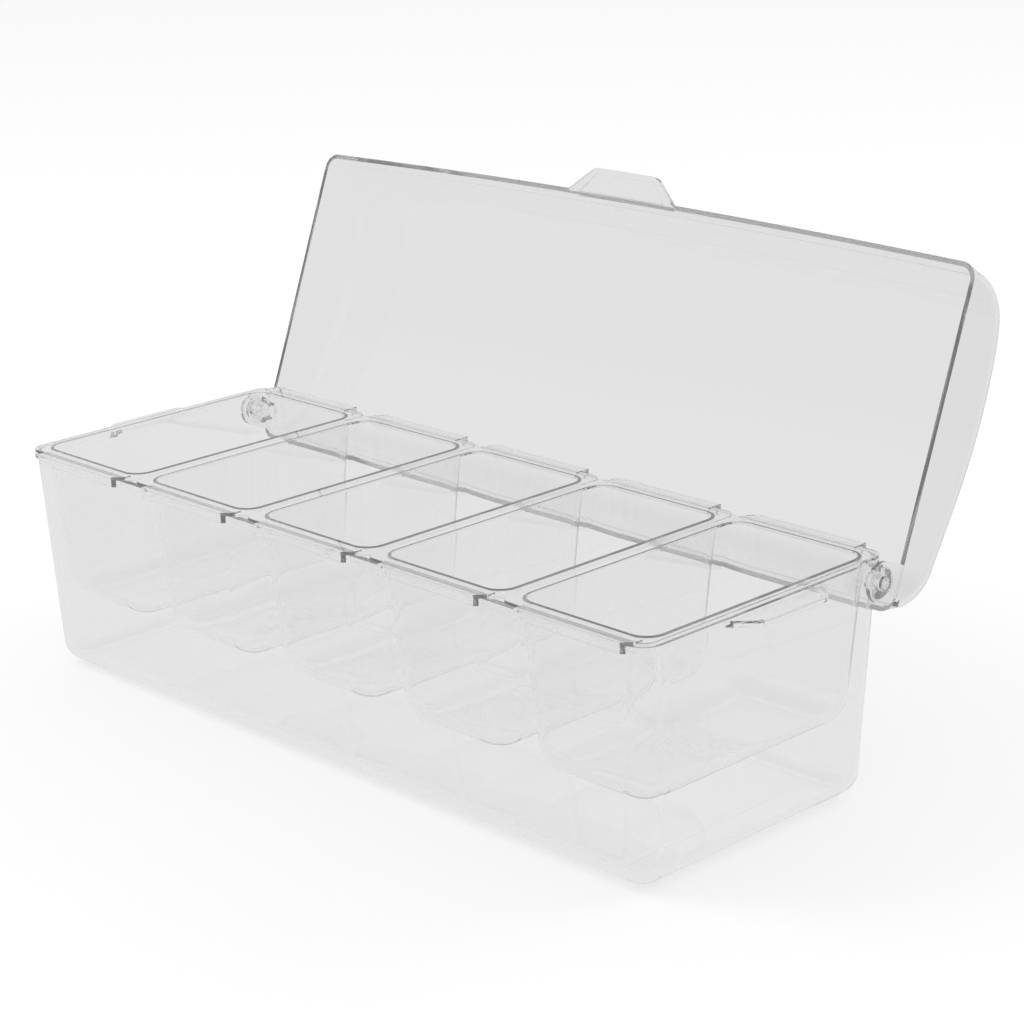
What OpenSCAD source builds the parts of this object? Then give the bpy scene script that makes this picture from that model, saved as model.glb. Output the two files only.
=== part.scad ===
// Condiment caddy: a clear moulded tub for ice, five lift-out trays that hook over its rim,
// and one long domed lid that swings back on two snap pins.
// The model is drawn with the lid open, as the object stands in use.
// X runs along the tub, Y towards the hinge side, Z up. The origin is under the middle of the foot.

/* [Tub] */
// Length over the rim
tub_l = 388; // [370:1:420]
// Depth over the rim, front to back
tub_w = 142; // [140:1:156]
// Height of the rim above the table
tub_h = 102.7; // [95:0.1:120]
// How far the rim stands out from the wall
lip_w = 1.2; // [1:0.1:1.6]
// Thickness of the rim
lip_t = 2; // [1.6:0.1:3]
// Thickness of the tub's walls and floor
wall_t = 2; // [1.6:0.1:2.2]
// Lean of the end walls that lets the mouldings leave their moulds, in degrees
draft_x = 2.4; // [1:0.1:3]
// Lean of the front and back walls, in degrees
draft_y = 1.4; // [0.5:0.1:3]
// Corner radius of the rim, seen from above
rim_r = 10.2; // [10.2:0.2:12]
// Radius of the edge between the walls and the floor
floor_edge_r = 10.5; // [8:0.5:11]
// How far the foot ring stands in from the rim at the ends
foot_in_x = 30; // [26:0.5:60]
// How far the foot ring stands in from the rim at the front and back
foot_in_y = 17; // [15:0.5:30]
// Width of the foot ring's rib
foot_rib = 3.5; // [2:0.5:5]
// Height of the foot ring's rib
foot_h = 1.2; // [0.8:0.1:2]
// Diameter of the round mould mark under the middle of the floor
mark_d = 11; // [8:0.5:14]

/* [End handles] */
// Length of a handle where it meets the rim
handle_root = 61; // [54:1:64]
// Length of a handle's outer edge
handle_tip = 44; // [36:1:48]
// How far a handle stands out past the rim
handle_out = 9; // [7:0.5:12]
// How far the handles sit behind the middle
handle_back = 3.2; // [0:0.2:5]
// Thickness of a handle's plate
handle_t = 1.6; // [1.4:0.1:1.8]
// Depth of the handle's turned-down edge
handle_drop = 2.6; // [2.2:0.1:4]

/* [Trays] */
// Gap between the flanges of two trays
tray_gap = 0.3; // [0.3:0.1:0.8]
// Depth of a tray below its flange
tray_depth = 70; // [45:1:75]
// Thickness of a tray's wall
tray_wall = 1.5; // [1.2:0.1:1.6]
// Width of the flange along a tray's sides
flange_w = 4.6; // [4.4:0.1:5.4]
// Thickness of the flange
flange_t = 1.2; // [1:0.1:1.6]
// Corner radius of the flange
flange_r = 6; // [2:0.5:7]
// Corner radius of a tray's opening
tray_r = 8; // [6:0.5:9]
// Radius of the edge between a tray's walls and floor
tray_edge_r = 14; // [10:0.5:14]

/* [Tray hooks] */
// Gap between the tub's rim and the flange over it
seat_gap = 0.3; // [0.3:0.05:0.5]
// Thickness of a hook
hook_t = 1.5; // [1.2:0.1:1.6]
// Height of a hook's plate above the flange
hook_rise = 0.5; // [0.4:0.1:0.8]
// Depth of a hook from its top to its lower edge
hook_drop = 4.6; // [4:0.1:5.5]
// Distance from a tray's middle to the square end of a hook
hook_start = 25.5; // [20:0.5:30]
// Distance from a tray's middle to the slanted end of a hook
hook_end = 29.5; // [20:0.5:30]

/* [Lid] */
// Thickness of the lid's walls
lid_wall = 2; // [1.8:0.1:2]
// How far the lid's front edge is bowed out in the middle
lid_bow = 3; // [0:0.5:3]
// Height of the dome above the lid's edge
dome_h = 33; // [30:0.5:38]
// Radius of the dome's front shoulder
front_r = 24; // [20:0.5:26]
// Radius of the dome's back shoulder
back_r = 21; // [18:0.5:23]
// Radius of the shallow crown between the shoulders
crown_r = 215; // [180:5:260]
// Radius that rounds the dome into its end walls and its corners
end_r = 7; // [5:0.5:8]
// Angle between the closed and the open lid, in degrees
lid_open = 111; // [90:1:111]
// Length of the finger tab where it meets the lid
tab_root = 66; // [60:1:72]
// Length of the finger tab's outer edge
tab_tip = 48; // [40:1:52]
// How far the finger tab stands out
tab_out = 11; // [9:0.5:13]
// Thickness of the finger tab
tab_t = 1.6; // [1.4:0.1:2]
// Height of the finger tab's raised edge
tab_edge_h = 3; // [2.4:0.1:3.4]

/* [Hinge] */
// Distance of the pin's middle below the lid's closed edge
pivot_drop = 11; // [10.8:0.1:11.2]
// Diameter of a hinge pin
pin_d = 5; // [4:0.1:5.6]
// Clearance round the pin in the lid's ear, on the radius
pin_play = 0.08; // [0.05:0.01:0.1]
// Radius of an ear's round end
ear_r = 8.5; // [8:0.5:10]
// Diameter of the boss on the tub's end wall
boss_d = 14; // [13:0.5:15]
// Diameter of a pin's head
head_d = 7.2; // [7:0.1:9]

/* [Hidden] */
clear_grey = [0.86, 0.88, 0.89];
lid_grey = [0.8, 0.83, 0.85];
pin_grey = [0.72, 0.75, 0.78];
edge_steps = 6;
corner_steps = 8;
bore_fn = 48;
slope_x = tan(draft_x);
slope_y = tan(draft_y);

wall_l = tub_l - 2 * lip_w;
wall_w = tub_w - 2 * lip_w;
wall_r = rim_r - lip_w;
floor_z = foot_h + wall_t;
lean_z = tub_h - lip_t - 0.4;
handle_z = tub_h - 0.9;
handle_r = 5;
handle_edge = 2.2;

flange_z = tub_h + seat_gap;
flange_top = flange_z + flange_t;
hook_top = flange_top + hook_rise;
hook_in = tub_w / 2 + 1.3;
hook_out = hook_in + hook_t;
tray_count = 5;
tray_pitch = (tub_l - 2.3 + tray_gap) / tray_count;
tray_half = (tray_pitch - tray_gap) / 2;
tray_open_l = 2 * (tray_half - flange_w);
tray_open_w = tub_w - 15.4;
flange_half_w = tub_w / 2 - 1.4;
step_y = flange_half_w - 3.6;

lid_half = tub_l / 2 + 2.5;
lid_plane = hook_top + 0.4;
lid_front = 1 - tub_w / 2;
pivot_y = tub_w / 2 - 7.1;
pivot_z = lid_plane - pivot_drop;
hook_corner = norm([hook_out - pivot_y, hook_top - pivot_z]);
lid_back_in = pivot_y + sqrt(pow(hook_corner + 0.4, 2) - pow(pivot_drop, 2));
lid_back = lid_back_in + lid_wall;
front_c = [lid_front + 2 + front_r, lid_plane + dome_h - 3 - front_r];
crown_c = [-11, lid_plane + dome_h - crown_r];
back_c = [lid_back - 1.5 - back_r, lid_plane + dome_h - 8.5 - back_r];
end_steps = 5;
bow_steps = 4;
tab_edge = 2.6;
tab_r = 8;

wall_in_x = wall_l / 2 - wall_t - (lean_z - pivot_z) * slope_x;
ear_in = lid_half - lid_wall;
boss_face = ear_in - 0.35;
bore_r = pin_d / 2 + pin_play;
barb_r = pin_d / 2 + 0.7;
barb_len = 1.7;
barb_x = wall_in_x - 0.05 - barb_len;
head_x = lid_half + 0.15;
head_t = 1.8;
slot_w = 1.2;

// A straight plate with round corners, its lower face at z = 0
module rounded_plate(l, w, r, t) {
    linear_extrude(t) {
        square([l - 2 * r, w], center = true);
        square([l, w - 2 * r], center = true);
        for (x = [-1, 1], y = [-1, 1])
            translate([x * (l / 2 - r), y * (w / 2 - r)])
                circle(r, $fn = 64);
    }
}

// The solid between rings that all have the same number of points
module loft(rings) {
    n = len(rings[0]);
    last = len(rings) - 1;
    sides = [for (j = [0 : last - 1], k = [0 : n - 1])
        let (a = j * n + k, b = j * n + (k + 1) % n)
        each [[a, b, b + n], [a, b + n, a + n]]];
    polyhedron([for (ring = rings) each ring],
        concat(sides, [[for (k = [0 : n - 1]) last * n + k],
            [for (k = [0 : n - 1]) n - 1 - k]]));
}

// Points round a level rectangle with round corners
function level_ring(l, w, r, z) =
    [for (q = [0 : 3], i = [0 : corner_steps])
        let (turn = -90 * (q + i / corner_steps),
            x = q == 0 || q == 3 ? 1 : -1,
            y = q < 2 ? -1 : 1)
        [x * (l / 2 - r) + r * cos(turn), y * (w / 2 - r) + r * sin(turn), z]];

// A box with leaning walls, round corners and a round lower edge, from z = 0 up to z = h.
// Its top part, collar high, is upright.
module cup_form(l, w, h, collar, top_r, low_r, edge) {
    low_l = l - 2 * (h - collar) * slope_x;
    low_w = w - 2 * (h - collar) * slope_y;
    loft(concat(
        [for (i = [edge_steps : -1 : 0])
            let (turn = 90 * i / edge_steps, in = edge * (1 - cos(turn)))
            level_ring(low_l - 2 * in, low_w - 2 * in, low_r - in, edge * (1 - sin(turn)))],
        [level_ring(l, w, top_r, h - collar), level_ring(l, w, top_r, h)]));
}

function arc(c, r, from, to, steps) =
    [for (i = [0 : steps]) c + r * [cos(from + (to - from) * i / steps),
        sin(from + (to - from) * i / steps)]];

// Outline of a handle or tab, seen from above: root on x = 0, tip at x = out
module wing_outline(root, tip, out, r) {
    side = 90 - atan2((root - tip) / 2, out - r);
    polygon(concat(
        [[0, -root / 2]],
        arc([out - r, r - tip / 2], r, -side, 0, 5),
        arc([out - r, tip / 2 - r], r, 0, side, 5),
        [[0, root / 2]]));
}

// A handle or tab: a thin plate on z = 0, and a thicker edge that runs down to z = -drop
module wing(root, tip, out, r, t, edge, drop) {
    translate([0, 0, -t])
        linear_extrude(t)
            wing_outline(root, tip, out, r);
    translate([0, 0, -drop])
        linear_extrude(drop - t / 2)
            difference() {
                wing_outline(root, tip, out, r);
                translate([-1, 0])
                    wing_outline(root - 2 * edge + 1, tip - 2 * edge, out - edge + 1, r - edge);
            }
}

module end_handle() {
    translate([tub_l / 2 - 0.5, handle_back, handle_z])
        wing(handle_root, handle_tip, handle_out + 0.5, handle_r, handle_t, handle_edge,
            handle_drop);
    translate([wall_l / 2 - 1, handle_back - handle_root / 2, handle_z - handle_t])
        cube([lip_w + 1, handle_root, handle_t]);
}

module hinge_boss() {
    translate([wall_l / 2 - wall_r, pivot_y, pivot_z])
        rotate([0, 90, 0])
            cylinder(d = boss_d, h = boss_face - wall_l / 2 + wall_r, $fn = 64);
}

module foot_ring() {
    l = tub_l - 2 * foot_in_x;
    w = tub_w - 2 * foot_in_y;
    linear_extrude(foot_h + 1)
        difference() {
            square([l, w], center = true);
            square([l - 2 * foot_rib, w - 2 * foot_rib], center = true);
        }
}

// The space that the pin's barbs open out in, with a flat face against the wall
module barb_space() {
    translate([wall_in_x - 7, pivot_y, pivot_z])
        rotate([0, 90, 0])
            cylinder(r = barb_r + 0.6, h = 7, $fn = bore_fn);
}

module tub() {
    low_r = floor_edge_r + 1;
    color(clear_grey)
        difference() {
            union() {
                translate([0, 0, foot_h])
                    cup_form(wall_l, wall_w, tub_h - 0.6 - foot_h, tub_h - 0.6 - lean_z, wall_r,
                        low_r, floor_edge_r);
                translate([0, 0, tub_h - lip_t])
                    rounded_plate(tub_l, tub_w, rim_r, lip_t);
                foot_ring();
                cylinder(d = mark_d, h = foot_h + 1, $fn = bore_fn);
                end_handle();
                mirror([1, 0, 0])
                    end_handle();
                hinge_boss();
                mirror([1, 0, 0])
                    hinge_boss();
            }
            translate([0, 0, floor_z])
                cup_form(wall_l - 2 * wall_t, wall_w - 2 * wall_t, tub_h + 1 - floor_z,
                    tub_h + 1 - lean_z, wall_r - wall_t, low_r - wall_t,
                    floor_edge_r - wall_t);
            barb_space();
            mirror([1, 0, 0])
                barb_space();
            translate([-lid_half, pivot_y, pivot_z])
                rotate([0, 90, 0])
                    cylinder(d = pin_d, h = 2 * lid_half, $fn = bore_fn);
        }
}

// The hook along a tray's front: a raised plate over the rim and a lip down its outside.
// One end is cut off at a slant.
module tray_hook() {
    slant = hook_out - flange_half_w;
    length = hook_start + hook_end + slant;
    profile = [[-step_y, flange_z + 0.8], [-step_y, hook_top], [-hook_out, hook_top],
        [-hook_out, hook_top - hook_drop], [-hook_in, hook_top - hook_drop],
        [-hook_in, flange_z + 0.1], [0.4 - flange_half_w, flange_z + 0.1],
        [0.4 - flange_half_w, flange_z + 0.8]];
    difference() {
        translate([-hook_start, 0, 0])
            rotate([90, 0, 90])
                linear_extrude(length)
                    polygon(profile);
        translate([hook_end, -hook_out, flange_z - 10])
            rotate([0, 0, -45])
                cube([20, 20, 30]);
    }
}

module tray() {
    lean_from = flange_z - 1;
    floor_top = flange_z - tray_depth + tray_wall;
    low_r = tray_edge_r + 1;
    difference() {
        union() {
            translate([0, 0, flange_z - tray_depth])
                cup_form(tray_open_l + 2 * tray_wall, tray_open_w + 2 * tray_wall,
                    tray_depth + 0.8, 1.8, tray_r + tray_wall, low_r, tray_edge_r);
            translate([0, 0, flange_z])
                rounded_plate(2 * tray_half, 2 * flange_half_w, flange_r, flange_t);
            tray_hook();
            rotate([0, 0, 180])
                tray_hook();
        }
        translate([0, 0, floor_top])
            cup_form(tray_open_l, tray_open_w, flange_top + 1 - floor_top,
                flange_top + 1 - lean_from, tray_r, low_r - tray_wall, tray_edge_r - tray_wall);
    }
}

module placed_tray(number) {
    color(clear_grey)
        translate([(number - (tray_count + 1) / 2) * tray_pitch, 0, 0])
            tray();
}

// Section of the dome across the lid at x, drawn in by inset, as [x, y, z] points
function dome_section(x, inset, low) =
    let (bow = [lid_bow * pow(x / lid_half, 2), 0])
    [for (q = concat(
        [[lid_front + inset, low] + bow],
        arc(front_c + bow, front_r - inset, 176, 96, 7),
        arc(crown_c, crown_r - inset, 98, 80, 7),
        arc(back_c, back_r - inset, 79, 4, 8),
        [[lid_back - inset, low]])) [x, q[0], q[1]]];

// The dome as a solid: sections along X, drawn in over the last few millimetres at each end
module dome_form(half, inset, r, low) {
    straight = half - r;
    loft(concat(
        [for (i = [end_steps : -1 : 1])
            let (turn = 90 * i / end_steps)
            dome_section(-straight - r * sin(turn), inset + r * (1 - cos(turn)), low)],
        [for (i = [-bow_steps : bow_steps])
            dome_section(straight * i / bow_steps, inset, low)],
        [for (i = [1 : end_steps])
            let (turn = 90 * i / end_steps)
            dome_section(straight + r * sin(turn), inset + r * (1 - cos(turn)), low)]));
}

module ear() {
    difference() {
        translate([ear_in + 0.1, pivot_y, pivot_z])
            rotate([90, 0, 90])
                linear_extrude(lid_wall - 0.2) {
                    circle(ear_r, $fn = 64);
                    translate([-ear_r, 0])
                        square([2 * ear_r, pivot_drop + 3]);
                }
        translate([ear_in - 1, pivot_y, pivot_z])
            rotate([0, 90, 0])
                cylinder(r = bore_r, h = lid_wall + 2, $fn = bore_fn);
    }
}

module closed_lid() {
    difference() {
        dome_form(lid_half, 0, end_r, lid_plane);
        dome_form(lid_half - lid_wall, lid_wall, end_r - lid_wall, lid_plane - 1);
    }
    ear();
    mirror([1, 0, 0])
        ear();
    translate([0, lid_front + 1, lid_plane + 0.2])
        rotate([180, 0, -90])
            wing(tab_root, tab_tip, tab_out + 1, tab_r, tab_t, tab_edge, tab_edge_h);
}

module lid() {
    color(lid_grey)
        translate([0, pivot_y, pivot_z])
            rotate([-lid_open, 0, 0])
                translate([0, -pivot_y, -pivot_z])
                    closed_lid();
}

// A snap pin: flat round head, plain shank, and a split end with four barbs
module hinge_pin() {
    color(pin_grey)
    translate([0, pivot_y, pivot_z])
        difference() {
            rotate([0, 90, 0])
                rotate_extrude($fn = 48)
                    polygon([[0, barb_x], [pin_d / 2 - 0.5, barb_x],
                        [barb_r, barb_x + barb_len - 0.5], [barb_r, barb_x + barb_len],
                        [pin_d / 2, barb_x + barb_len], [pin_d / 2, head_x],
                        [head_d / 2, head_x], [head_d / 2, head_x + head_t - 0.6],
                        [head_d / 2 - 0.6, head_x + head_t], [0, head_x + head_t]]);
            for (turn = [0, 90])
                translate([barb_x - 1, 0, 0])
                    rotate([turn, 0, 0])
                        translate([0, -slot_w / 2, -5])
                            cube([barb_len + 2, slot_w, 10]);
        }
}

tub();
placed_tray(1);  // tray_1
placed_tray(2);  // tray_2
placed_tray(3);  // tray_3
placed_tray(4);  // tray_4
placed_tray(5);  // tray_5
lid();
mirror([1, 0, 0]) hinge_pin();  // hinge_pin_left
hinge_pin();  // hinge_pin_right
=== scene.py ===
# %% [markdown]
# # Condiment caddy with one long lid
#
# A clear tub holds ice. Five clear trays hang in it side by side, and one long domed lid
# swings up on two snap pins. Every piece is injection-moulded styrene acrylonitrile or
# polystyrene, so the whole object is about walls 1.5 to 2 mm thick and their edges.
# Such plastic is judged by its edges: a wall that is looked through shows almost nothing,
# a wall that is looked along shows a dark line.

# %% Load the solids and their frame
import math

import bmesh
import bpy
from mathutils import Matrix, Vector


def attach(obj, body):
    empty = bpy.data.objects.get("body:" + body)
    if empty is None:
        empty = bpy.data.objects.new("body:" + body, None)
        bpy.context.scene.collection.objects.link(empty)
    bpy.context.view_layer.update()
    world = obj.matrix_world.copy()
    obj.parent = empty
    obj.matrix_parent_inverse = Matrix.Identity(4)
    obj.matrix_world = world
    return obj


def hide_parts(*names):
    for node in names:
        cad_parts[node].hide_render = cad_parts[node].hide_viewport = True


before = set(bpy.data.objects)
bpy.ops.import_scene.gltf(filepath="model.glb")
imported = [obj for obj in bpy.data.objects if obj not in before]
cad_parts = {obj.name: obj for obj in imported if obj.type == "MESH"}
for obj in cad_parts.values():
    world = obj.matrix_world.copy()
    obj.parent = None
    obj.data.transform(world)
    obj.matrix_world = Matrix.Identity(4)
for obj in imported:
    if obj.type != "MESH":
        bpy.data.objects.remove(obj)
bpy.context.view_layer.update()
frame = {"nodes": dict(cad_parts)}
print("nodes:", ", ".join(frame["nodes"]))

# %% [markdown]
# ## Tools for shaping
#
# Sizes below are millimetres, as on the drawing. A piece starts as a cube in edit mode;
# faces and edges are chosen by where they lie and which way they look.

# %% Shaping helpers
MM = 0.001
STRAIGHT_ON = 0.95  # cosine from which an edge or a face counts as looking along an axis
MERGE = 0.01  # mm
SHARP, SMOOTH = 35, 50  # degrees: rounded from the first, shaded smooth up to the second


def begin(name, low, high):
    """A cube that fills low to high, in edit mode."""
    bpy.ops.object.select_all(action="DESELECT")
    bpy.ops.mesh.primitive_cube_add(
        size=1,
        location=[(a + b) / 2 * MM for a, b in zip(low, high)],
        scale=[(b - a) * MM for a, b in zip(low, high)],
    )
    bpy.ops.object.transform_apply(location=True, rotation=True, scale=True)
    bpy.context.object.name = bpy.context.object.data.name = name
    bpy.ops.object.mode_set(mode="EDIT")
    return bpy.context.object


def begin_rod(name, place, radius, length, turned=True, vertices=64):
    """A cylinder round place, along X when turned, in edit mode."""
    bpy.ops.object.select_all(action="DESELECT")
    bpy.ops.mesh.primitive_cylinder_add(
        vertices=vertices,
        radius=radius * MM,
        depth=length * MM,
        location=[v * MM for v in place],
        rotation=(0, math.pi / 2 if turned else 0, 0),
    )
    bpy.ops.object.transform_apply(location=True, rotation=True, scale=True)
    bpy.context.object.name = bpy.context.object.data.name = name
    bpy.ops.object.mode_set(mode="EDIT")
    return bpy.context.object


def choose(kind, test):
    """Select the VERT, EDGE or FACE parts that pass test(middle, part); middle is in mm."""
    bpy.ops.mesh.select_mode(type=kind)
    bpy.ops.mesh.select_all(action="DESELECT")
    mesh = bmesh.from_edit_mesh(bpy.context.object.data)
    for part in {"VERT": mesh.verts, "EDGE": mesh.edges, "FACE": mesh.faces}[kind]:
        if kind == "VERT":
            middle = part.co / MM
        elif kind == "EDGE":
            middle = (part.verts[0].co + part.verts[1].co) / 2 / MM
        else:
            middle = part.calc_center_median() / MM
        if test(middle, part):
            part.select_set(True)
    mesh.select_flush_mode()
    bmesh.update_edit_mesh(bpy.context.object.data)


def along(edge, axis):
    """True for an edge that runs along axis 0, 1 or 2."""
    run = edge.verts[1].co - edge.verts[0].co
    return abs(run[axis]) > STRAIGHT_ON * run.length


def faces_to(part, axis, sign):
    """True for a face that looks along axis, towards sign."""
    return part.normal[axis] * sign > STRAIGHT_ON


def shift(x=0, y=0, z=0):
    """Move what is chosen, in mm."""
    bpy.ops.transform.translate(value=(x * MM, y * MM, z * MM))


def push(x=0, y=0, z=0):
    """Extrude the chosen faces."""
    bpy.ops.mesh.extrude_region_move(
        TRANSFORM_OT_translate={"value": (x * MM, y * MM, z * MM)}
    )


def spread(x, y, z, centre):
    """Scale what is chosen about centre."""
    bpy.ops.transform.resize(value=(x, y, z), center_override=[v * MM for v in centre])


def finish(obj):
    """Leave edit mode with the normals outward."""
    bpy.ops.mesh.select_mode(type="VERT")
    bpy.ops.mesh.select_all(action="SELECT")
    bpy.ops.mesh.remove_doubles(threshold=MERGE * MM)
    bpy.ops.mesh.normals_make_consistent(inside=False)
    bpy.ops.object.mode_set(mode="OBJECT")
    return obj


def roll_in(radius, steps):
    """Draw the chosen face in by a quarter round, inset by inset."""
    for i in range(steps):
        a, b = (math.pi / 2 * k / steps for k in (i, i + 1))
        bpy.ops.mesh.inset(
            thickness=radius * (math.cos(a) - math.cos(b)) * MM,
            depth=radius * (math.sin(b) - math.sin(a)) * MM,
        )


def make_active(obj):
    bpy.ops.object.select_all(action="DESELECT")
    obj.select_set(True)
    bpy.context.view_layer.objects.active = obj


def combine(obj, how, *tools):
    """Boolean each tool into obj and drop the tool."""
    for tool in tools:
        step = obj.modifiers.new("combine", "BOOLEAN")
        step.operation = how
        step.solver = "EXACT"
        step.object = tool
        make_active(obj)
        bpy.ops.object.modifier_apply(modifier=step.name)
        bpy.data.objects.remove(tool, do_unlink=True)


def soften(obj, width):
    """Round the sharp edges a little; smooth shading that leaves flat faces flat."""
    step = obj.modifiers.new("soften", "BEVEL")
    step.width = width * MM
    step.segments = 2
    step.limit_method = "ANGLE"
    step.angle_limit = math.radians(SHARP)
    make_active(obj)
    bpy.ops.object.modifier_apply(modifier=step.name)
    bpy.ops.object.shade_smooth_by_angle(angle=math.radians(SMOOTH))
    step = obj.modifiers.new("weigh", "WEIGHTED_NORMAL")
    step.mode = "FACE_AREA"
    step.weight = 100
    step.keep_sharp = True
    bpy.ops.object.modifier_apply(modifier=step.name)


def twin(obj, name):
    """A copy with a mesh of its own."""
    made = obj.copy()
    made.data = obj.data.copy()
    made.name = made.data.name = name
    bpy.context.scene.collection.objects.link(made)
    return made


def mirrored(obj, name):
    """A copy on the other side of the middle, turned right side out."""
    made = twin(obj, name)
    make_active(made)
    bpy.ops.object.mode_set(mode="EDIT")
    bpy.ops.mesh.select_all(action="SELECT")
    bpy.ops.transform.mirror(constraint_axis=(True, False, False), center_override=(0, 0, 0))
    bpy.ops.mesh.normals_make_consistent(inside=False)
    bpy.ops.object.mode_set(mode="OBJECT")
    return made


def tell(obj):
    """Print faces, size, volume and the edges that don't have two faces."""
    mesh = bmesh.new()
    mesh.from_mesh(obj.data)
    loose = sum(1 for e in mesh.edges if len(e.link_faces) != 2)
    faces, volume = len(mesh.faces), mesh.calc_volume() * 1e6
    mesh.free()
    size = " x ".join("%.1f" % (v / MM) for v in obj.dimensions)
    print(f"{obj.name}: {faces} faces, {size} mm, {volume:.1f} ml, {loose} open edges")


# %% [markdown]
# ## A cup with leaning walls
#
# Tub and trays are the same form at two sizes: an upright collar, walls that lean in
# towards the floor so that the mould lets go, corners that grow rounder on the way down,
# and a rolled edge into the floor. The floor edge is rolled by small insets.

# %% The cup form
CORNER_STEPS, ROLL_STEPS, RIM_STEPS = 14, 10, 10


def cup(name, top, low, bottom, lean, height, edge):
    """top and low are (length, width, corner radius) of the collar and of the foot.

    bottom, lean and height are levels: the floor, where the walls start to lean, the top.
    edge is the radius of the roll between wall and floor.
    """
    (l, w, r), (low_l, low_w, low_r) = top, low
    foot = bottom + edge
    obj = begin(name, (-l / 2, -w / 2, foot), (l / 2, w / 2, lean))
    choose("EDGE", lambda m, e: along(e, 2))
    bpy.ops.mesh.bevel(offset=r * MM, segments=CORNER_STEPS, affect="EDGES")
    for sx in (-1, 1):
        for sy in (-1, 1):
            choose("VERT", lambda m, v: m.z < foot + 0.1 and m.x * sx > 0 and m.y * sy > 0)
            spread(low_r / r, low_r / r, 1, (sx * (l / 2 - r), sy * (w / 2 - r), foot))
            shift(sx * (low_l / 2 - low_r - l / 2 + r), sy * (low_w / 2 - low_r - w / 2 + r))
    choose("FACE", lambda m, f: faces_to(f, 2, -1))
    roll_in(edge, ROLL_STEPS)
    choose("FACE", lambda m, f: faces_to(f, 2, 1))
    push(z=height - lean)
    return finish(obj)


# %% [markdown]
# ## The tub
#
# One moulding: the cup, a rim only 1.2 mm proud, two end handles with turned-down edges,
# two bosses for the hinge pins, a low ring to stand on with square corners, and the round
# mark that the mould leaves under the middle of the floor.

# %% Tub: body, rim and foot
SLOPE_X, SLOPE_Y = math.tan(math.radians(2.4)), math.tan(math.radians(1.4))
TUB_L, TUB_W, TUB_H = 388, 142, 102.7
RIM_OUT, TUB_WALL, FLOOR_UP = 1.2, 2, 1.2  # the floor stands on the ring
WALL_L, WALL_W, LEAN = TUB_L - 2 * RIM_OUT, TUB_W - 2 * RIM_OUT, 100.3
RING_X, RING_Y, RING_WIDE, RING_TOP = 164, 54, 3.5, 2.2
MARK_R = 5.5
PIVOT = (63.9, 94.1)  # y and z of the hinge


def lean_in(l, w, drop):
    """Length and width of a leaning cup, drop below where it starts to lean."""
    return l - 2 * drop * SLOPE_X, w - 2 * drop * SLOPE_Y


def plate(name, l, w, r, low, high):
    """A level plate with round corners."""
    obj = begin(name, (-l / 2, -w / 2, low), (l / 2, w / 2, high))
    choose("EDGE", lambda m, e: along(e, 2))
    bpy.ops.mesh.bevel(offset=r * MM, segments=RIM_STEPS, affect="EDGES")
    return finish(obj)


tub = cup(
    "tub_shell",
    (WALL_L, WALL_W, 9),
    (*lean_in(WALL_L, WALL_W, LEAN - FLOOR_UP), 11.5),
    FLOOR_UP, LEAN, TUB_H - 0.6, 10.5,
)
rim = plate("rim", TUB_L, TUB_W, 10.2, TUB_H - 2, TUB_H)
ring = finish(begin("ring", (-RING_X, -RING_Y, 0), (RING_X, RING_Y, RING_TOP)))
hole_x, hole_y = RING_X - RING_WIDE, RING_Y - RING_WIDE
ring_inside = begin("ring_inside", (-hole_x, -hole_y, -1), (hole_x, hole_y, RING_TOP + 1))
combine(ring, "DIFFERENCE", finish(ring_inside))
mark = finish(begin_rod("mark", (0, 0, RING_TOP / 2), MARK_R, RING_TOP, turned=False))
combine(tub, "UNION", rim, ring, mark)
tell(tub)

# %% [markdown]
# The handle is a flat ledge, widest at the rim and set a little behind the middle. Its
# edge turns down, so fingers find a lip; the hollow under it is an inset, pushed up.

# %% Tub: end handles
HANDLE_Y, HANDLE_ROOT, HANDLE_TIP = 3.2, 30.5, 18.7  # middle and half widths
HANDLE_IN, HANDLE_OUT, HANDLE_LOW, HANDLE_TOP = 191.3, 203, 99.2, 101.8
LARGE_FACE = 1e-4  # square metres: the hollow's ceiling is larger, the lip's faces are not
handle = begin(
    "handle",
    (HANDLE_IN, HANDLE_Y - HANDLE_ROOT, HANDLE_LOW),
    (HANDLE_OUT, HANDLE_Y + HANDLE_ROOT, HANDLE_TOP),
)
choose("VERT", lambda m, v: m.x > 200)
spread(1, HANDLE_TIP / HANDLE_ROOT, 1, (HANDLE_OUT, HANDLE_Y, 100))
choose("EDGE", lambda m, e: along(e, 2) and m.x > 200)
bpy.ops.mesh.bevel(offset=1.6 * MM, segments=6, affect="EDGES")
choose("FACE", lambda m, f: faces_to(f, 2, -1))
bpy.ops.mesh.inset(thickness=2.2 * MM)
choose("VERT", lambda m, v: m.z < 99.3 and 193 < m.x < 194.5)
shift(x=-1.4)
choose("FACE", lambda m, f: (
    faces_to(f, 2, -1) and abs(m.y - HANDLE_Y) < 2 and m.x > 192 and f.calc_area() > LARGE_FACE
))
push(z=1)
finish(handle)
left_handle = mirrored(handle, "handle_left")
combine(tub, "UNION", handle, left_handle)
tell(tub)

# %% [markdown]
# The boss is a short round pillar at the back of each end wall. The cavity is cut after
# it, so it never shows inside the tub; then the pin's bore goes through.

# %% Tub: bosses, cavity and bores
BOSS_IN, BOSS_OUT, BOSS_R = 183.8, 194.15, 7
CAVITY_FLOOR = FLOOR_UP + TUB_WALL
for side in (1, -1):
    middle = (side * (BOSS_IN + BOSS_OUT) / 2, *PIVOT)
    boss = begin_rod("boss", middle, BOSS_R, BOSS_OUT - BOSS_IN, vertices=72)
    combine(tub, "UNION", finish(boss))

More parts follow.
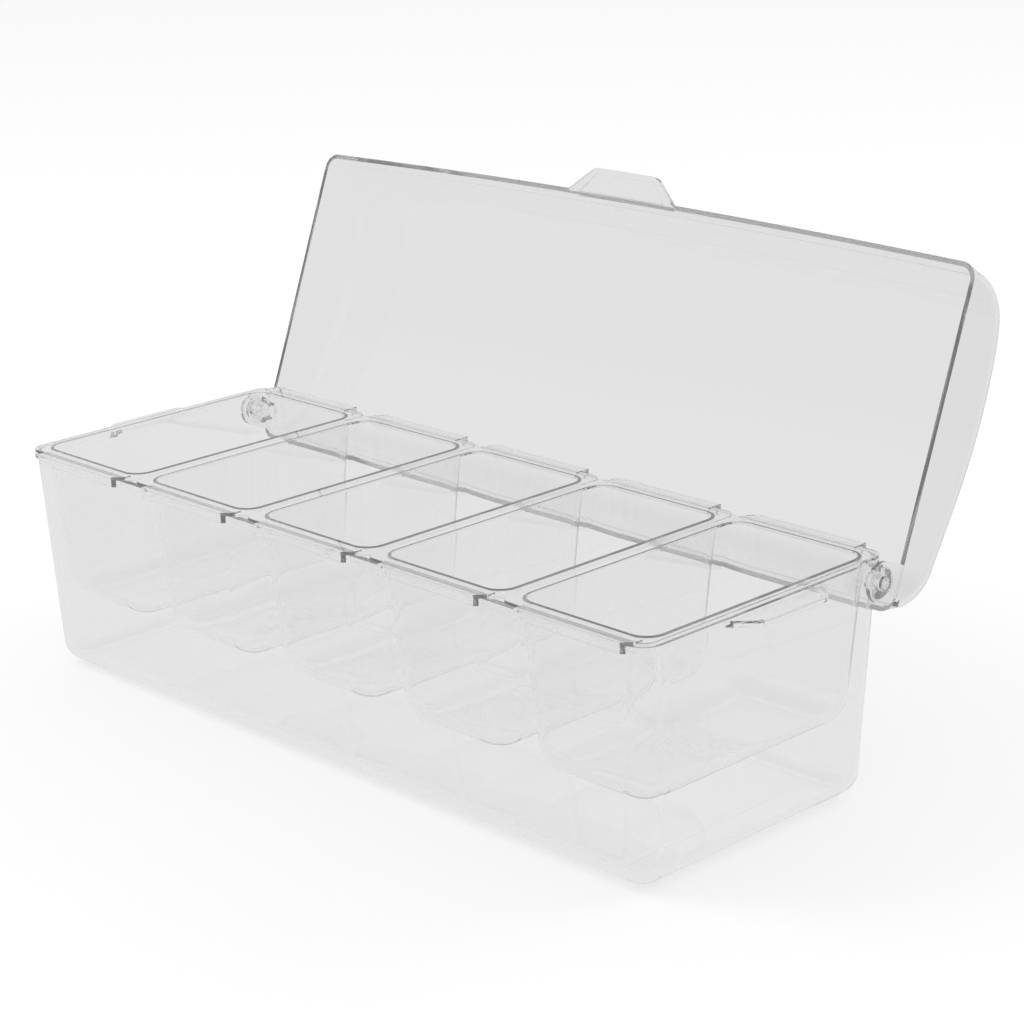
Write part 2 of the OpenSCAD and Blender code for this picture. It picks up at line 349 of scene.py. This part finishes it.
cavity = cup(
    "cavity",
    (WALL_L - 2 * TUB_WALL, WALL_W - 2 * TUB_WALL, 7),
    (*lean_in(WALL_L - 2 * TUB_WALL, WALL_W - 2 * TUB_WALL, LEAN - CAVITY_FLOOR), 9.5),
    CAVITY_FLOOR, LEAN, TUB_H + 1, 8.5,
)
combine(tub, "DIFFERENCE", cavity)
for side in (1, -1):
    combine(tub, "DIFFERENCE", finish(begin_rod("spot", (side * 187, *PIVOT), 3.8, 7)))
combine(tub, "DIFFERENCE", finish(begin_rod("bore", (0, *PIVOT), 2.5, 393)))
soften(tub, 0.35)
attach(tub, "tub")
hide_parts("tub")
tell(tub)

# %% [markdown]
# ## One tray, five times
#
# A thin cup with a flange. Along its front and back a raised strip runs over the tub's
# rim and hooks down outside it; one end of each hook is cut at 45 degrees.

# %% Tray
PITCH, HALF = 77.2, 38.45
TRAY_L, TRAY_W, TRAY_WALL = 70.7, 129.6, 1.5
TRAY_LOW, TRAY_LEAN = 33, 102
INSIDE_L, INSIDE_W, INSIDE_LOW = TRAY_L - 2 * TRAY_WALL, TRAY_W - 2 * TRAY_WALL, 34.5
HOOK_START, HOOK_END, HOOK_OUT, HOOK_IN, HOOK_DROP = -25.5, 29.5, -73.8, -72.3, 3
tray = cup(
    "tray",
    (TRAY_L, TRAY_W, 9.5),
    (*lean_in(TRAY_L, TRAY_W, TRAY_LEAN - TRAY_LOW), 15),
    TRAY_LOW, TRAY_LEAN, 103.8, 14,
)
combine(tray, "UNION", plate("flange", 2 * HALF, 139.2, 6, 103, 104.2))
for side in (-1, 1):
    hook = begin("hook", (HOOK_START, HOOK_OUT, 103.1), (33.7, -66, 104.7))
    bpy.ops.mesh.select_all(action="SELECT")
    bpy.ops.mesh.bisect(plane_co=(0, HOOK_IN * MM, 0), plane_no=(0, 1, 0))
    choose("FACE", lambda m, f: faces_to(f, 2, -1) and m.y < HOOK_IN)
    push(z=-HOOK_DROP)
    bpy.ops.mesh.select_all(action="SELECT")
    bpy.ops.mesh.bisect(
        plane_co=(HOOK_END * MM, HOOK_OUT * MM, 0), plane_no=(1, -1, 0),
        clear_outer=True, use_fill=True,
    )
    if side > 0:
        bpy.ops.mesh.select_all(action="SELECT")
        bpy.ops.transform.rotate(value=math.pi, orient_axis="Z", center_override=(0, 0, 0))
    finish(hook)
    tell(hook)
    combine(tray, "UNION", hook)
combine(
    tray, "DIFFERENCE",
    cup(
        "tray_inside",
        (INSIDE_L, INSIDE_W, 8),
        (*lean_in(INSIDE_L, INSIDE_W, TRAY_LEAN - INSIDE_LOW), 13.5),
        INSIDE_LOW, TRAY_LEAN, 105.2, 12.5,
    ),
)
soften(tray, 0.3)
tell(tray)
trays = [tray] + [twin(tray, f"tray_{n}_form") for n in range(2, 6)]
tray.name = tray.data.name = "tray_1_form"
for n, piece in enumerate(trays, 1):
    make_active(piece)
    bpy.ops.object.mode_set(mode="EDIT")
    bpy.ops.mesh.select_all(action="SELECT")
    shift(x=(n - 3) * PITCH)
    bpy.ops.object.mode_set(mode="OBJECT")
    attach(piece, f"tray_{n}")
    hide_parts(f"tray_{n}")
print("trays:", len(trays))

# %% [markdown]
# ## The lid
#
# The dome starts as a narrow strip, the foot of its front wall, as long as the lid. The
# strip's upper edge is spun round the front shoulder's centre, then round the centre of
# the shallow crown, then round the back shoulder: three tangent arcs, one smooth sheet.

# %% Lid: the sheet
LID_HALF, END_R, PLANE = 196.5, 7, 105.1  # PLANE is where lid and trays meet
STRAIGHT = LID_HALF - END_R
LID_FRONT, LID_BACK, SKIRT = -70, 75.95, 10  # the skirt below PLANE is cut off later
# middle (y, z), radius, first and last angle, steps
FRONT_ARC = (-44, 111.1), 24, 176, 99.96, 14
CROWN_ARC = (-11, -76.9), 215, 99.96, 80, 8
BACK_ARC = (53.45, 108.6), 21, 79.7, 4, 14


def end_of(arc, first=False):
    """y and z of an arc's last point, or of its first one."""
    (y, z), radius, start, stop, _ = arc
    angle = math.radians(start if first else stop)
    return y + radius * math.cos(angle), z + radius * math.sin(angle)


def swing(arc):
    """Spin the chosen edge along an arc."""
    (y, z), _, start, stop, steps = arc
    bpy.ops.mesh.spin(
        steps=steps,
        angle=math.radians(start - stop),
        center=(0, y * MM, z * MM),
        axis=(1, 0, 0),
    )


lid = begin("lid_form", (-STRAIGHT, LID_FRONT, PLANE - SKIRT), (STRAIGHT, LID_BACK, PLANE))
choose("FACE", lambda m, f: not faces_to(f, 1, -1))
bpy.ops.mesh.delete(type="FACE")
choose("EDGE", lambda m, e: along(e, 0) and m.z > PLANE - 1)
y, z = end_of(FRONT_ARC, first=True)
push(y=y - LID_FRONT, z=z - PLANE)
swing(FRONT_ARC)
swing(CROWN_ARC)
(last_y, last_z), (y, z) = end_of(CROWN_ARC), end_of(BACK_ARC, first=True)
push(y=y - last_y, z=z - last_z)
swing(BACK_ARC)
y, z = end_of(BACK_ARC)
push(y=LID_BACK - y, z=PLANE - z)
push(z=-SKIRT)
print("sheet:", len(bpy.context.object.data.polygons), "strips")

# %% [markdown]
# The two ends are closed and drawn in by small insets, a quarter round of 7 mm. The
# front wall is not quite straight in plan: it bows out 3 mm in the middle, which keeps a
# long thin wall from looking dished.

# %% Lid: ends, bow and wall
SECTIONS, END_STEPS, BOW, LID_WALL = 8, 8, 3, 2
choose("EDGE", lambda m, e: along(e, 0) and m.z < PLANE - SKIRT + 0.1)
bpy.ops.mesh.edge_face_add()
for side in (-1, 1):
    choose("EDGE", lambda m, e: m.x * side > STRAIGHT - 0.01)
    bpy.ops.mesh.edge_face_add()
bpy.ops.mesh.select_all(action="SELECT")
bpy.ops.mesh.normals_make_consistent(inside=False)
for side in (-1, 1):
    choose("FACE", lambda m, f: faces_to(f, 0, side))
    roll_in(END_R, END_STEPS)
for i in range(1 - SECTIONS, SECTIONS):
    bpy.ops.mesh.select_all(action="SELECT")
    bpy.ops.mesh.bisect(plane_co=(STRAIGHT * i / SECTIONS * MM, 0, 0), plane_no=(1, 0, 0))
mesh = bmesh.from_edit_mesh(bpy.context.object.data)
sections = sorted({round(v.co.x / MM, 2) for v in mesh.verts})
for x in sections:
    choose("VERT", lambda m, v: abs(m.x - x) < 0.02 and m.y < -43)
    shift(y=BOW * (x / LID_HALF) ** 2)
choose("FACE", lambda m, f: faces_to(f, 2, -1) and m.z < PLANE - SKIRT + 0.1)
bpy.ops.mesh.delete(type="FACE")
finish(lid)
step = lid.modifiers.new("wall", "SOLIDIFY")
step.thickness = LID_WALL * MM
step.offset = -1
step.use_even_offset = True
make_active(lid)
bpy.ops.object.modifier_apply(modifier=step.name)
tell(lid)
combine(lid, "DIFFERENCE", finish(begin("below", (-200, -80, 80), (200, 85, PLANE))))
tell(lid)

# %% [markdown]
# Two ears hang from the ends of the lid and take the pins. The finger tab on the front
# edge is a thin plate with a raised rim, so a wet finger does not slip off.

# %% Lid: ears and tab
EAR_IN, EAR_OUT, EAR_R, EAR_TOP = 194.6, 196.4, 8.5, 108.1
TAB_ROOT, TAB_TIP, TAB_OUT, OPENED = 33, 18.4, -81, 111
for side in (-1, 1):
    inner, outer = sorted((side * EAR_IN, side * EAR_OUT))
    y, z = PIVOT
    ear = begin("ear", (inner, y - EAR_R, z - EAR_R), (outer, y + EAR_R, EAR_TOP))
    choose("EDGE", lambda m, e: along(e, 0) and m.z < z)
    bpy.ops.mesh.bevel(offset=(EAR_R - 0.01) * MM, segments=20, affect="EDGES")
    combine(lid, "UNION", finish(ear))
tab = begin("tab", (-TAB_ROOT, TAB_OUT, 105.3), (TAB_ROOT, -68.6, 108.3))
choose("VERT", lambda m, v: m.y < -80)
spread(TAB_TIP / TAB_ROOT, 1, 1, (0, TAB_OUT, 106))
choose("EDGE", lambda m, e: along(e, 2) and m.y < -80)
bpy.ops.mesh.bevel(offset=1.8 * MM, segments=6, affect="EDGES")
choose("FACE", lambda m, f: faces_to(f, 2, 1))
bpy.ops.mesh.inset(thickness=2.6 * MM)
choose("VERT", lambda m, v: m.z > 108 and -72 < m.y < -70.5)
shift(y=1.9)
choose("FACE", lambda m, f: (
    faces_to(f, 2, 1) and abs(m.x) < 1 and f.calc_area() > 2 * LARGE_FACE
))
push(z=-1.4)
combine(lid, "UNION", finish(tab))
combine(lid, "DIFFERENCE", finish(begin_rod("bore", (0, *PIVOT), 2.58, 400)))
soften(lid, 0.35)
make_active(lid)
bpy.ops.transform.rotate(
    value=math.radians(OPENED), orient_axis="X", center_override=(0, y * MM, z * MM)
)
bpy.ops.object.transform_apply(location=True, rotation=True, scale=True)
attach(lid, "lid")
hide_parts("lid")
tell(lid)
for name, piece in (("cad lid", frame["nodes"]["lid"]), ("lid", lid)):
    corners = [piece.matrix_world @ v.co / MM for v in piece.data.vertices]
    print(name, [[round(f(c[i] for c in corners), 2) for i in range(3)] for f in (min, max)])

# %% [markdown]
# ## The hinge pins
#
# A flat head, a plain shank and a split end with barbs: pushed through the lid's ear into
# the boss, the end closes up, passes the bore and springs open inside the wall.

# %% Pins
HEAD_R, SHANK_R, BARB_R, POINT_R = 3.6, 2.45, 3.2, 2
SHANK_END, POINT = 190.49, 188.79
SLOT_WIDE, SLOT_LONG = 0.6, 5
pin = begin_rod("pin_right_form", (197.55, *PIVOT), HEAD_R, 1.8)
choose("FACE", lambda m, f: faces_to(f, 0, -1))
bpy.ops.mesh.inset(thickness=(HEAD_R - SHANK_R) * MM)
push(x=-6.16)
push()
spread(1, BARB_R / SHANK_R, BARB_R / SHANK_R, (SHANK_END, *PIVOT))
push(x=-0.5)
push(x=-1.2)
spread(1, POINT_R / BARB_R, POINT_R / BARB_R, (POINT, *PIVOT))
finish(pin)
y, z = PIVOT
for wide, high in ((SLOT_LONG, SLOT_WIDE), (SLOT_WIDE, SLOT_LONG)):
    slot = begin("slot", (187.8, y - wide, z - high), (191.5, y + wide, z + high))
    combine(pin, "DIFFERENCE", finish(slot))
soften(pin, 0.2)
other = mirrored(pin, "pin_left_form")
for piece, name in ((pin, "hinge_pin_right"), (other, "hinge_pin_left")):
    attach(piece, "tub")
    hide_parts(name)
    tell(piece)

# %% [markdown]
# ## Clear plastic
#
# One recipe for all pieces: a smooth dielectric that loses a little light on the way.
# The tint on the surface greys a wall evenly; the absorption inside darkens only the
# long ways, which is why rims and edges read as dark lines. Real plastic also scatters a
# little light inside, so that even the longest way ends in grey, not in black: a faint
# painted glow, emission in the volume, stands for it.

# %% Materials
def linear(code):
    """sRGB hex to linear colour."""
    out = []
    for i in (0, 2, 4):
        c = int(code[i:i + 2], 16) / 255
        out.append(c / 12.92 if c <= 0.04045 else ((c + 0.055) / 1.055) ** 2.4)
    return (*out, 1.0)


def add(tree, kind, values=None, links=None, **settings):
    """A node with its settings, socket values and links."""
    made = tree.nodes.new(kind)
    for key, value in settings.items():
        setattr(made, key, value)
    for key, value in (values or {}).items():
        made.inputs[key].default_value = value
    for key, socket in (links or {}).items():
        tree.links.new(socket, made.inputs[key])
    return made


def new_material(name):
    """An empty material and its node tree."""
    material = bpy.data.materials.new(name)
    material.use_nodes = True
    material.node_tree.nodes.clear()
    return material, material.node_tree


INDEX = 1.57  # styrene acrylonitrile
WHITE = (1, 1, 1, 1)


def clear_plastic(name, tint, ink, density, painted_glow, roughness=0.02):
    """tint greys the skin; ink and density take light on the way; painted_glow is a painted
    glow, emission in the volume that gives some back.
    """
    material, tree = new_material(name)
    place = add(tree, "ShaderNodeTexCoord")
    swirl = add(
        tree, "ShaderNodeTexNoise", {"Scale": 55.0, "Detail": 2.0, "Roughness": 0.4},
        {"Vector": place.outputs["Object"]},
    )
    wave = add(
        tree, "ShaderNodeBump", {"Strength": 0.015, "Distance": 0.0004},
        {"Height": swirl.outputs["Fac"]},
    )
    skin = add(
        tree, "ShaderNodeBsdfPrincipled",
        {"Base Color": linear(tint), "Roughness": roughness, "IOR": INDEX,
         "Transmission Weight": 1.0},
        {"Normal": wave.outputs["Normal"]},
    )
    loss = add(
        tree, "ShaderNodeVolumeAbsorption", {"Color": linear(ink), "Density": density}
    )
    # Painted glow: the volume gives off light of its own, standing in for light that real
    # plastic scatters inside.
    glow = add(tree, "ShaderNodeEmission", {"Color": WHITE, "Strength": painted_glow})
    inside = add(tree, "ShaderNodeAddShader", links={0: loss.outputs[0], 1: glow.outputs[0]})
    add(tree, "ShaderNodeOutputMaterial", links={
        "Surface": skin.outputs["BSDF"], "Volume": inside.outputs[0]})
    print(f"{name}: tint {tint}, loss {ink} at {density} per m, haze {painted_glow}")
    return material


# The fifth number of each recipe is the strength of the painted glow in the volume.
# Ice tub: polished mould, so the eye gets clean outlines and hardly any wall.
tub_plastic = clear_plastic("clear_tub", "fefefe", "9a9a9a", 8, 0.9)
# Trays: the same plastic, thinner; five of them one behind the other give the pale grey.
tray_plastic = clear_plastic("clear_tray", "fefefe", "9a9a9a", 8, 0.9)
# Lid: a slightly greyer skin, so that its one large wall stands out from the white.
lid_plastic = clear_plastic("clear_lid", "f8f8f8", "9a9a9a", 6, 0.9)
# Pins: a duller skin on a thick small body, seen as a soft grey button; its painted glow is the
# strongest.
pin_plastic = clear_plastic("clear_pin", "fafafa", "909090", 8, 1.2, 0.05)


def dress(obj, material):
    obj.data.materials.clear()
    obj.data.materials.append(material)


dress(tub, tub_plastic)
dress(lid, lid_plastic)
for piece in trays:
    dress(piece, tray_plastic)
for piece in (pin, other):
    dress(piece, pin_plastic)

# %% [markdown]
# ## Table, light and camera
#
# The photo is cut out on white, so table and world look pure white to the camera. A clear
# thing has no look of its own: it shows what its walls bend into view. Rays that have
# been bent or mirrored therefore see another studio: a light grey one with a lighter ring
# at eye height and a darker ceiling. Walls turn an even grey, edges and roll-overs a
# darker one. Light turned back inside a wall counts as a mirror bounce, and a ray in an
# edge makes many of them. With the usual limit of four the edges came out black.

# %% Studio
BEHIND = 0.81  # what a bent ray sees of the table and of the world below the ring
GREY_STRENGTH = 1.4
RING, CEILING = 0.68, 0.25  # shares of the grey strength
TABLE_GLOW = 0.75  # the rest is matt paper, which takes the soft shadow


def shares(tree, *kinds):
    """1 for rays of any of the kinds, for example "Is Camera Ray"."""
    path = add(tree, "ShaderNodeLightPath")
    total = path.outputs[kinds[0]]
    for kind in kinds[1:]:
        step = add(tree, "ShaderNodeMath", operation="MAXIMUM",
                   links={0: total, 1: path.outputs[kind]})
        total = step.outputs[0]
    return total


world = bpy.data.worlds.new("studio")
bpy.context.scene.world = world
world.use_nodes = True
tree = world.node_tree
tree.nodes.clear()
lit = add(tree, "ShaderNodeBackground", {"Color": WHITE, "Strength": 0.75})
way = add(tree, "ShaderNodeTexCoord")
parts = add(tree, "ShaderNodeSeparateXYZ", links={0: way.outputs["Object"]})
rings = add(tree, "ShaderNodeValToRGB", links={0: parts.outputs["Z"]})
band = rings.color_ramp
stops = (0.36, BEHIND / GREY_STRENGTH), (0.46, RING), (0.56, RING), (0.8, CEILING)
while len(band.elements) < len(stops):
    band.elements.new(0.5)
for stop, (height, share) in zip(band.elements, stops):
    stop.position = height
    stop.color = (share, share, share, 1)
grey = add(
    tree, "ShaderNodeBackground", {"Strength": GREY_STRENGTH}, {"Color": rings.outputs["Color"]}
)
white = add(tree, "ShaderNodeBackground", {"Color": WHITE, "Strength": 1.0})
bent = add(tree, "ShaderNodeMixShader", links={
    0: shares(tree, "Is Transmission Ray", "Is Glossy Ray"),
    1: lit.outputs[0], 2: grey.outputs[0]})
mix = add(tree, "ShaderNodeMixShader", links={
    0: shares(tree, "Is Camera Ray"), 1: bent.outputs[0], 2: white.outputs[0]})
add(tree, "ShaderNodeOutputWorld", links={"Surface": mix.outputs[0]})
bpy.context.scene.view_settings.view_transform = "Standard"

bpy.ops.mesh.primitive_plane_add(size=8)
table = bpy.context.object
table.name = "table"
# White paper: the eye gets a blank ground with one faint, soft shadow.
paper, tree = new_material("paper")
matt = add(tree, "ShaderNodeBsdfDiffuse", {"Color": linear("fafafa")})
glow = add(tree, "ShaderNodeEmission", {"Color": WHITE, "Strength": 1.0})
soft = add(
    tree, "ShaderNodeMixShader", {0: TABLE_GLOW}, {1: matt.outputs[0], 2: glow.outputs[0]}
)
through = add(tree, "ShaderNodeEmission", {"Color": WHITE, "Strength": BEHIND})
mix = add(tree, "ShaderNodeMixShader", links={
    0: shares(tree, "Is Camera Ray"), 1: through.outputs[0], 2: soft.outputs[0]})
add(tree, "ShaderNodeOutputMaterial", links={"Surface": mix.outputs[0]})
dress(table, paper)


def lamp(name, place, target, size, watts):
    """A rectangular lamp that looks at target; only its light shows, not the lamp."""
    data = bpy.data.lights.new(name, "AREA")
    data.shape = "RECTANGLE"
    data.size, data.size_y = size
    data.energy = watts
    made = bpy.data.objects.new(name, data)
    bpy.context.scene.collection.objects.link(made)
    made.location = place
    turn = (Vector(target) - Vector(place)).to_track_quat("-Z", "Y")
    made.rotation_euler = turn.to_euler()
    made.visible_glossy = False
    made.visible_transmission = False
    print(f"lamp {name}: {watts} W")


AIM = (0, 0, 0.1)
lamp("key", (-1.2, -0.9, 1.6), AIM, (1.0, 1.0), 18)
lamp("rim", (0.6, 1.5, 1.2), AIM, (1.2, 0.6), 10)

# %% Camera
# Azimuth, height and roll, place and focal length, as fitted to the photo.
EYE = Vector((0.817414, -0.736814, 0.451564))
FOCAL, PICTURE, SENSOR = 2697, 1024, 36  # pixels, pixels, mm
BOUNCES = 64
turn, lift, roll = (math.radians(v) for v in (46.056, 17.905, -1.534))
level = math.cos(lift)
ahead = Vector((-level * math.sin(turn), level * math.cos(turn), -math.sin(lift)))
right = Vector((math.cos(turn), math.sin(turn), 0))
up = right.cross(ahead)
right, up = (
    right * math.cos(roll) + up * math.sin(roll),
    up * math.cos(roll) - right * math.sin(roll),
)
lens = bpy.data.cameras.new("camera")
lens.sensor_width = SENSOR
lens.lens = FOCAL / PICTURE * SENSOR
camera = bpy.data.objects.new("camera", lens)
bpy.context.scene.collection.objects.link(camera)
axes = Matrix((right, up, -ahead)).transposed().to_4x4()
camera.matrix_world = Matrix.Translation(EYE) @ axes
bpy.context.scene.camera = camera
for kind in ("max_bounces", "glossy_bounces", "transmission_bounces", "transparent_max_bounces"):
    setattr(bpy.context.scene.cycles, kind, BOUNCES)
print(f"camera: {lens.lens:.1f} mm, {EYE.length:.2f} m from the origin")
